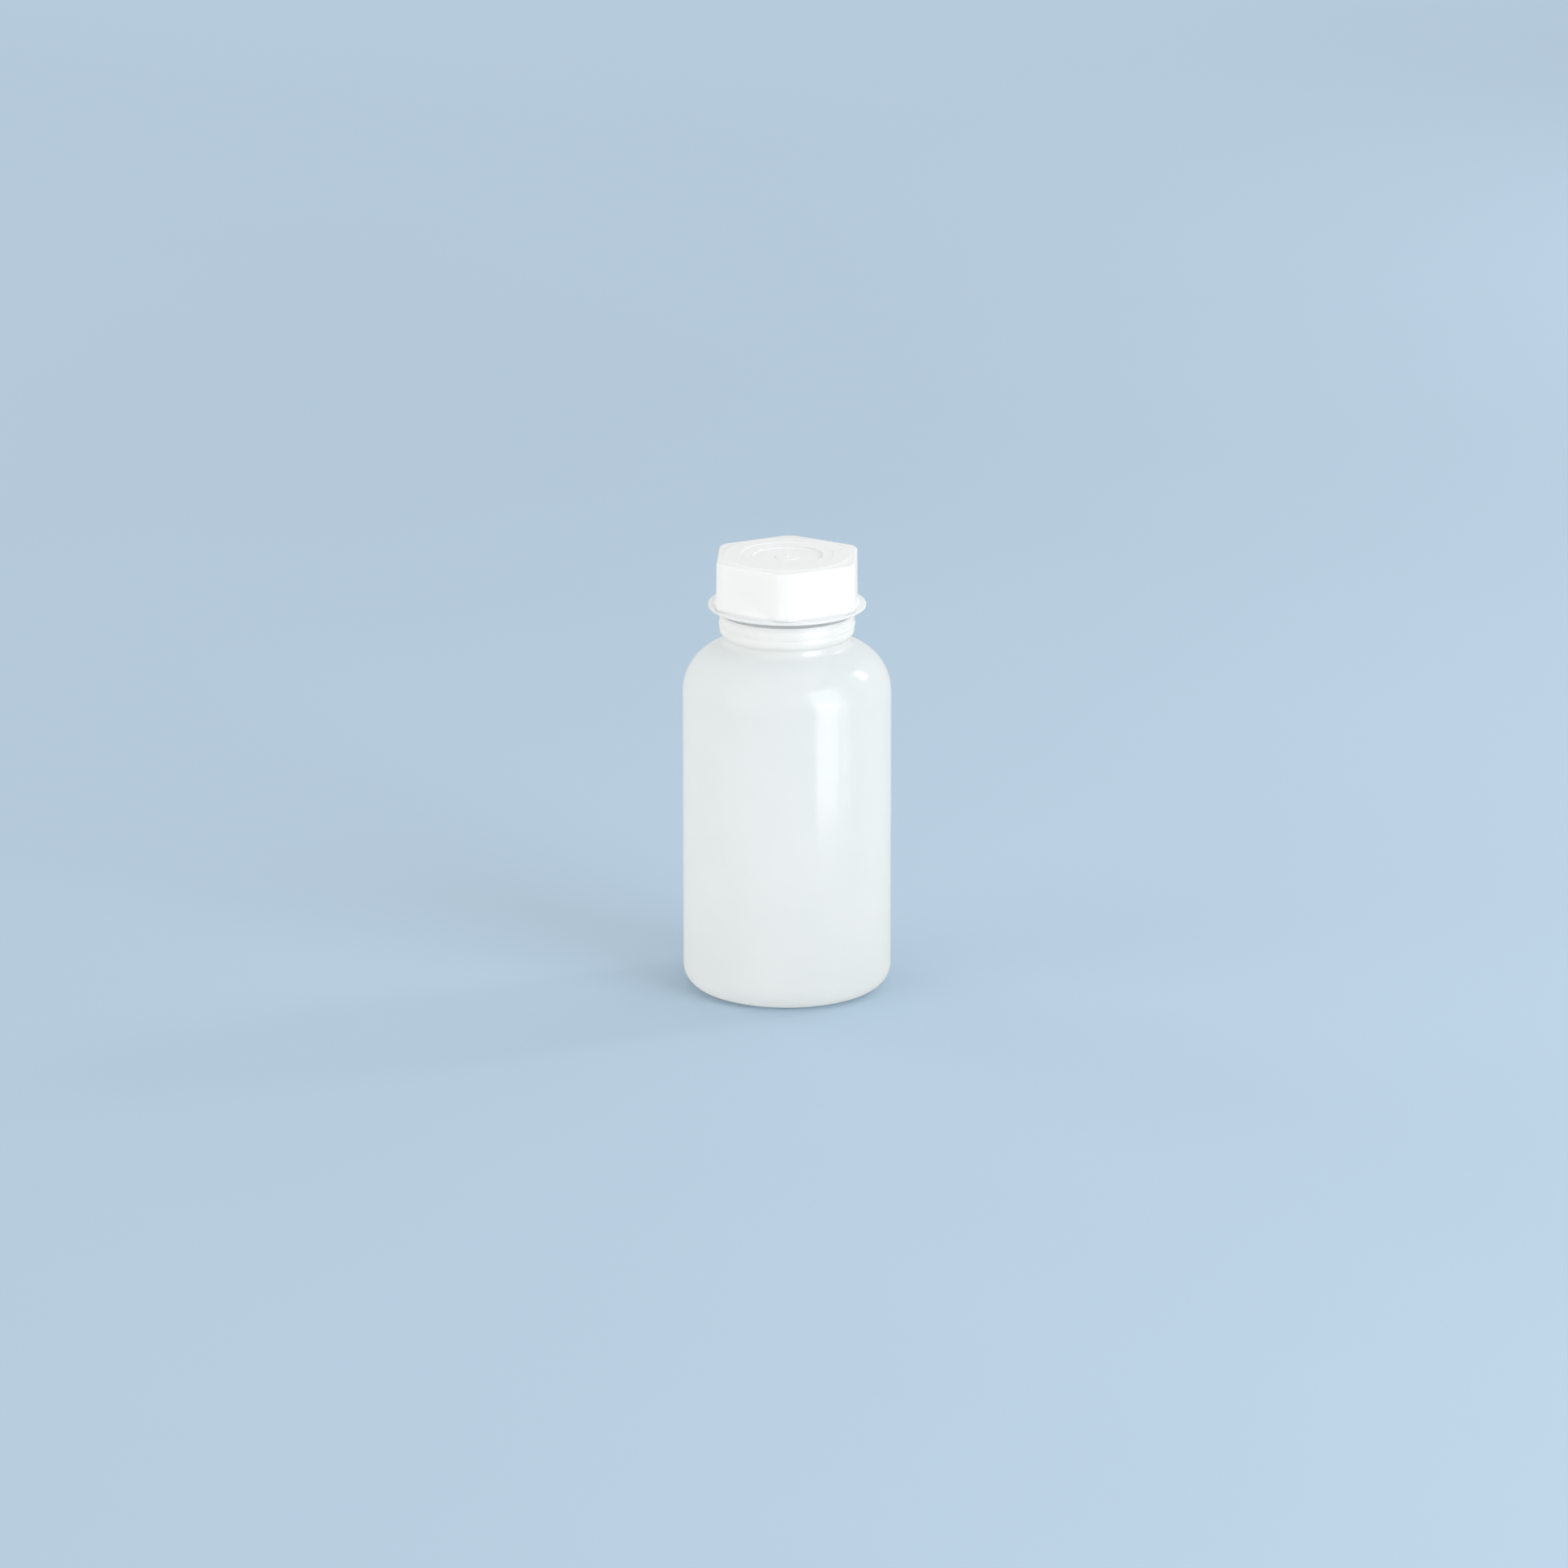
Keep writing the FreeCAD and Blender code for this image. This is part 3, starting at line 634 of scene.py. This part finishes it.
def plastic_group():
    """Clouds inside the plastic and the fine unevenness of its skin."""
    tree = bpy.data.node_groups.new("moulded_plastic", "ShaderNodeTree")
    tree_inputs(tree, {"Cloud Scale": ("NodeSocketFloat", 40.0),
                       "Drawn Lines": ("NodeSocketFloat", 0.3),
                       "Smooth": ("NodeSocketFloat", 0.25), "Dull": ("NodeSocketFloat", 0.4)})
    for name in ("Cloud", "Skin", "Roughness"):
        tree.interface.new_socket(name, in_out="OUTPUT", socket_type="NodeSocketFloat")
    graph = Graph(tree)
    given = graph.add("NodeGroupInput").outputs
    place = graph.add("ShaderNodeTexCoord").outputs["Object"]
    cloud = graph.add("ShaderNodeTexNoise", {
        "Vector": place, "Scale": given["Cloud Scale"], "Detail": 3.0}).outputs["Fac"]
    fine = graph.add("ShaderNodeTexNoise", {
        "Vector": place, "Scale": SKIN_SCALE, "Detail": 1.0}).outputs["Fac"]
    drawn = graph.add("ShaderNodeMapping", {"Vector": place, "Scale": DRAWN_SCALE})
    lines = graph.add("ShaderNodeTexNoise", {
        "Vector": drawn.outputs[0], "Scale": 1.0, "Detail": 1.0}).outputs["Fac"]
    drawn_lines = graph.math("MULTIPLY", lines, given["Drawn Lines"])
    skin = graph.math("ADD", graph.math("MULTIPLY", fine, SKIN_SHARE), drawn_lines)
    worn = graph.add("ShaderNodeMapRange", {
        "Value": cloud, "From Min": CLOUD_LOW, "From Max": CLOUD_HIGH,
        "To Min": given["Smooth"], "To Max": given["Dull"]})
    graph.add("NodeGroupOutput", {"Cloud": graph.fade(cloud, CLOUD_LOW, CLOUD_HIGH), "Skin": skin,
                                  "Roughness": worn.outputs["Result"]})
    return tree


moulded_plastic = plastic_group()
print("plastic group:", len(moulded_plastic.nodes), "nodes")

# %% Helpers for the materials
SKIN_DEPTH = 0.1 * MM


def plastic(name, pale, clouded, sizes, bump):
    """A material and its graph, with the shared group feeding a Principled BSDF."""
    material = bpy.data.materials.new(name)
    material.use_nodes = True
    material.node_tree.nodes.clear()
    graph = Graph(material.node_tree)
    group = graph.add("ShaderNodeGroup", sizes, node_tree=moulded_plastic)
    colour = graph.add("ShaderNodeMix", {0: group.outputs["Cloud"]}, data_type="RGBA")
    colour.inputs["A"].default_value = (*pale, 1.0)
    colour.inputs["B"].default_value = (*clouded, 1.0)
    raised = graph.add("ShaderNodeBump", {
        "Height": group.outputs["Skin"], "Strength": bump, "Distance": SKIN_DEPTH})
    shader = graph.add("ShaderNodeBsdfPrincipled", {
        "Base Color": colour.outputs["Result"], "Roughness": group.outputs["Roughness"],
        "Normal": raised.outputs["Normal"], "IOR": 1.5})
    return material, graph, shader


def finish_material(graph, shader, other, share):
    """Mix the plastic with a second shader, by this share, as the material's surface."""
    surface = graph.add("ShaderNodeMixShader", {0: share, 1: shader.outputs[0], 2: other.outputs[0]})
    graph.add("ShaderNodeOutputMaterial", {"Surface": surface.outputs[0]})


def by_height(graph, low, high, below, above):
    """A share that changes smoothly from one height to another."""
    place = graph.add("ShaderNodeTexCoord").outputs["Object"]
    return graph.fade(graph.split(place)["Z"], low, high, below, above)


# %% [markdown]
# ## The wall and its lining
#
# In a real milky wall, light is scattered many times before it comes out again. Here the
# outer face mixes a glossy plastic with a translucent one, and the inner face is mostly
# clear, so light is spread only once on its way through and the bottle glows evenly
# without many bounces. Collar and neck are thicker, so they pass less.

# %% Milky wall of the bottle
PASSED = 0.5
THICK_PASSED = 0.2
THICK_FROM = 127 * MM
THICK_AT = 135 * MM
milky_wall, graph, shader = plastic(
    "milky_wall", (0.905, 0.91, 0.90), (0.875, 0.885, 0.87),
    {"Cloud Scale": 45.0, "Drawn Lines": 0.5, "Smooth": 0.13, "Dull": 0.19}, 0.05)
shader.inputs["Specular IOR Level"].default_value = 0.9
glow = graph.add("ShaderNodeBsdfTranslucent", {"Color": (0.91, 0.92, 0.91, 1.0)})
finish_material(graph, shader, glow, by_height(graph, THICK_FROM, THICK_AT, PASSED, THICK_PASSED))
print("milky wall: passes", PASSED, "of the light, and", THICK_PASSED, "where it is thick")


# %% Inner faces
def lining(name, clear_share):
    """The inner face of a milky wall, which mostly passes light on to the outer face."""
    material, graph, shader = plastic(
        name, (0.95, 0.95, 0.94), (0.92, 0.925, 0.92),
        {"Cloud Scale": 45.0, "Drawn Lines": 0.2, "Smooth": 0.29, "Dull": 0.4}, 0.04)
    finish_material(graph, shader, graph.add("ShaderNodeBsdfTransparent"), clear_share)
    return material


wall_lining = lining("wall_lining", 0.85)
cap_lining = lining("cap_lining", 0.4)
print("linings:", wall_lining.name, cap_lining.name)

# %% [markdown]
# ## The cap's plastic
#
# The same plastic looks whiter in the cap, because its skirt is thick and the neck stands
# behind it. Only the flange is thin enough to let much light through to the collar.

# %% Whiter plastic of the cap
FLANGE_PASSED = 0.55
SKIRT_PASSED = 0.2
PASSED_OVER = 1.5 * MM
white_moulding, graph, shader = plastic(
    "white_moulding", (0.97, 0.97, 0.965), (0.95, 0.952, 0.95),
    {"Cloud Scale": 60.0, "Drawn Lines": 0.1, "Smooth": 0.14, "Dull": 0.21}, 0.05)
shader.inputs["Specular IOR Level"].default_value = 1.0
glow = graph.add("ShaderNodeBsdfTranslucent", {"Color": (0.98, 0.98, 0.975, 1.0)})
finish_material(graph, shader, glow, by_height(
    graph, FLANGE_HIGH, FLANGE_HIGH + PASSED_OVER, FLANGE_PASSED, SKIRT_PASSED))
print("white moulding: flange passes", FLANGE_PASSED, "and skirt", SKIRT_PASSED)

# %% [markdown]
# ## Moulding the two pieces
#
# Both threads are hidden in the photograph. The neck's is given the usual round form of a
# 45 mm closure, with a pitch of 4 mm. The cap's stands inwards from its bore, half a
# pitch higher, so that each ridge lies in the other's groove. The collar and the neck
# stay with the bottle, and the cap rides on its own body, so it lifts off with its
# thread and its plug.

# %% The bottle's mesh
PITCH = 4 * MM
TURNS = 2.2
BOTTLE_SIZES = {"Around": 240, "Thread Start": COLLAR_TOP + 4.9 * MM, "Thread Pitch": PITCH,
                "Thread Turns": TURNS, "Thread Depth": 1.3 * MM, "Thread Foot": 2.4 * MM,
                "Thread Crest": 0.9 * MM, "Thread Fade": 0.1, "Unevenness": 0.16 * MM,
                "Outer Material": milky_wall, "Inner Material": wall_lining}
bottle = mould("bottle_wall", bottle_rows, BOTTLE_SIZES)
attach(bottle, "bottle")
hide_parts("bottle")

# %% The cap's mesh
CAP_SIZES = {"Around": 360, "Flat Turn": FLAT_TURN,
             "Thread Start": BOTTLE_SIZES["Thread Start"] + PITCH / 2, "Thread Pitch": PITCH,
             "Thread Turns": TURNS, "Thread Depth": -1.2 * MM, "Thread Foot": 1.7 * MM,
             "Thread Crest": 0.6 * MM, "Thread Fade": 0.15,
             "Outer Material": white_moulding, "Inner Material": cap_lining}
cap = mould("screw_cap", cap_rows, CAP_SIZES)
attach(cap, "cap")
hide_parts("cap")

# %% [markdown]
# ## Floor
#
# The photograph's ground is a flat pale blue. The floor has that colour for the camera.
# Behind the object less light reaches it, so its paint is lighter there, and it looks
# even from the photograph's side. For all other rays it is a pale, nearly neutral table,
# which lights the object from below without tinting it.

# %% Floor
GROUND = (0.474, 0.604, 0.723)
PAINT = (0.425, 0.54, 0.65)
FAR_PAINTED_LIGHT = (0.61, 0.775, 0.93)
FAR_FROM, FAR_AT = 0.6, 2.4
BOUNCE = (0.88, 0.90, 0.92)
GRAIN = 0.01
GRAIN_SCALE = 6.0
FLOOR_RADIUS = 6.0
FLOOR_CORNERS = 96


def mixed(graph, share, first, second):
    """A colour between two others; each may be a plain colour or a socket."""
    node = graph.add("ShaderNodeMix", {0: share}, data_type="RGBA")
    for socket, colour in (("A", first), ("B", second)):
        graph.feed(node.inputs[socket], (*colour, 1.0) if isinstance(colour, tuple) else colour)
    return node.outputs["Result"]


def floor_material():
    """Pale paint with a hardly visible grain, and painted light: lighter paint far behind, where less
    lamp light reaches.
    """
    material = bpy.data.materials.new("floor_paint")
    material.use_nodes = True
    material.node_tree.nodes.clear()
    graph = Graph(material.node_tree)
    place = graph.add("ShaderNodeTexCoord").outputs["Object"]
    grain = graph.add("ShaderNodeTexNoise", {"Vector": place, "Scale": GRAIN_SCALE, "Detail": 2.0})
    darker = tuple((1 - GRAIN) * part for part in PAINT)
    lighter = tuple((1 + GRAIN) * part for part in PAINT)
    paint = mixed(graph, grain.outputs["Fac"], darker, lighter)
    # Painted light: the paint turns lighter far behind, where less lamp light reaches the floor.
    behind = graph.fade(graph.split(place)["Y"], FAR_FROM, FAR_AT)
    paint = mixed(graph, behind, paint, FAR_PAINTED_LIGHT)
    seen = graph.add("ShaderNodeLightPath").outputs["Is Camera Ray"]
    shader = graph.add("ShaderNodeBsdfDiffuse", {"Color": mixed(graph, seen, BOUNCE, paint)})
    graph.add("ShaderNodeOutputMaterial", {"Surface": shader.outputs[0]})
    return material


floor_mesh = bpy.data.meshes.new("floor")
disc = bmesh.new()
bmesh.ops.create_circle(disc, cap_ends=True, segments=FLOOR_CORNERS, radius=FLOOR_RADIUS)
disc.to_mesh(floor_mesh)
disc.free()
floor = bpy.data.objects.new("floor", floor_mesh)
bpy.context.scene.collection.objects.link(floor)
floor_mesh.materials.append(floor_material())
floor.visible_glossy = False
print("floor radius", FLOOR_RADIUS, "m")

# %% [markdown]
# ## World
#
# The world is an even white room, which gives most of the light. Where the camera looks
# past the floor, it shows the ground's colour instead, so that the floor's edge isn't a
# dark horizon. Mirrored rays still see the white room, and that keeps the rim pale.

# %% World
DAYLIGHT = 0.77
world = bpy.data.worlds.new("soft_room")
bpy.context.scene.world = world
world.use_nodes = True
world.node_tree.nodes.clear()
graph = Graph(world.node_tree)
light_path = graph.add("ShaderNodeLightPath").outputs
seen = graph.math("MAXIMUM", light_path["Is Camera Ray"], light_path["Is Transmission Ray"])
room_light = graph.add("ShaderNodeBackground", {"Color": (1.0, 1.0, 1.0, 1.0), "Strength": DAYLIGHT})
ground_seen = graph.add("ShaderNodeBackground", {"Color": (*GROUND, 1.0), "Strength": 1.0})
either = graph.add("ShaderNodeMixShader", {0: seen, 1: room_light.outputs[0], 2: ground_seen.outputs[0]})
graph.add("ShaderNodeOutputWorld", {"Surface": either.outputs[0]})
print("world light", DAYLIGHT)

# %% [markdown]
# ## Lamps
#
# One soft key lamp on the right and weak fills give the round body its shading. The fills
# stay out of the reflections. The tall highlight on the photograph's bottle looks like a
# near softbox, mirrored in the upright wall. Two lamps make it, and they are kept out of
# the diffuse light. Two small lamps behind on the right make the spots on the shoulder.

# %% Lamps
FULL_AIM = 0.08
HIGHLIGHT_AIM = 0.06


def lamp(name, bearing, elevation, distance, size, power, aim=FULL_AIM, colour=(1.0, 1.0, 1.0)):
    """A rectangular soft lamp; bearing is degrees to the right of the camera."""
    data = bpy.data.lights.new(name, "AREA")
    data.shape = "RECTANGLE"
    data.size, data.size_y = size
    data.energy = power
    data.color = colour
    bearing, elevation = math.radians(bearing), math.radians(elevation)
    away = Vector((math.sin(bearing) * math.cos(elevation), -math.cos(bearing) * math.cos(elevation),
                   math.sin(elevation)))
    unit = bpy.data.objects.new(name, data)
    unit.location = Vector((0.0, 0.0, aim)) + distance * away
    unit.rotation_euler = away.to_track_quat("Z", "Y").to_euler()
    unit.visible_camera = False
    bpy.context.scene.collection.objects.link(unit)
    return unit


lamp("key_softbox", 46, 24, 1.6, (1.0, 1.0), 9.5, colour=(0.92, 0.98, 1.0))
fills = [lamp("left_fill", -60, 8, 1.8, (1.2, 0.9), 8, colour=(1.0, 0.96, 0.88)),
         lamp("rim_left", -130, 12, 1.5, (0.6, 1.0), 3, colour=(1.0, 0.97, 0.92)),
         lamp("rim_right", 140, 8, 1.5, (0.6, 1.0), 4),
         lamp("overhead", 0, 80, 1.8, (1.2, 1.2), 3.5)]
for fill in fills:
    fill.visible_glossy = False
lamp("spot_high", 115, 36, 1.0, (0.12, 0.10), 0.6)
lamp("spot_low", 113, 28, 1.0, (0.14, 0.06), 0.5)
strips = [lamp("highlight_softbox", 44, 2, 0.42, (0.19, 0.24), 0.58, aim=HIGHLIGHT_AIM),
          lamp("highlight_edge", 64, 2, 0.42, (0.08, 0.24), 0.10, aim=HIGHLIGHT_AIM)]
for strip in strips:
    strip.visible_diffuse = False
print("lamps:", len(bpy.data.lights))
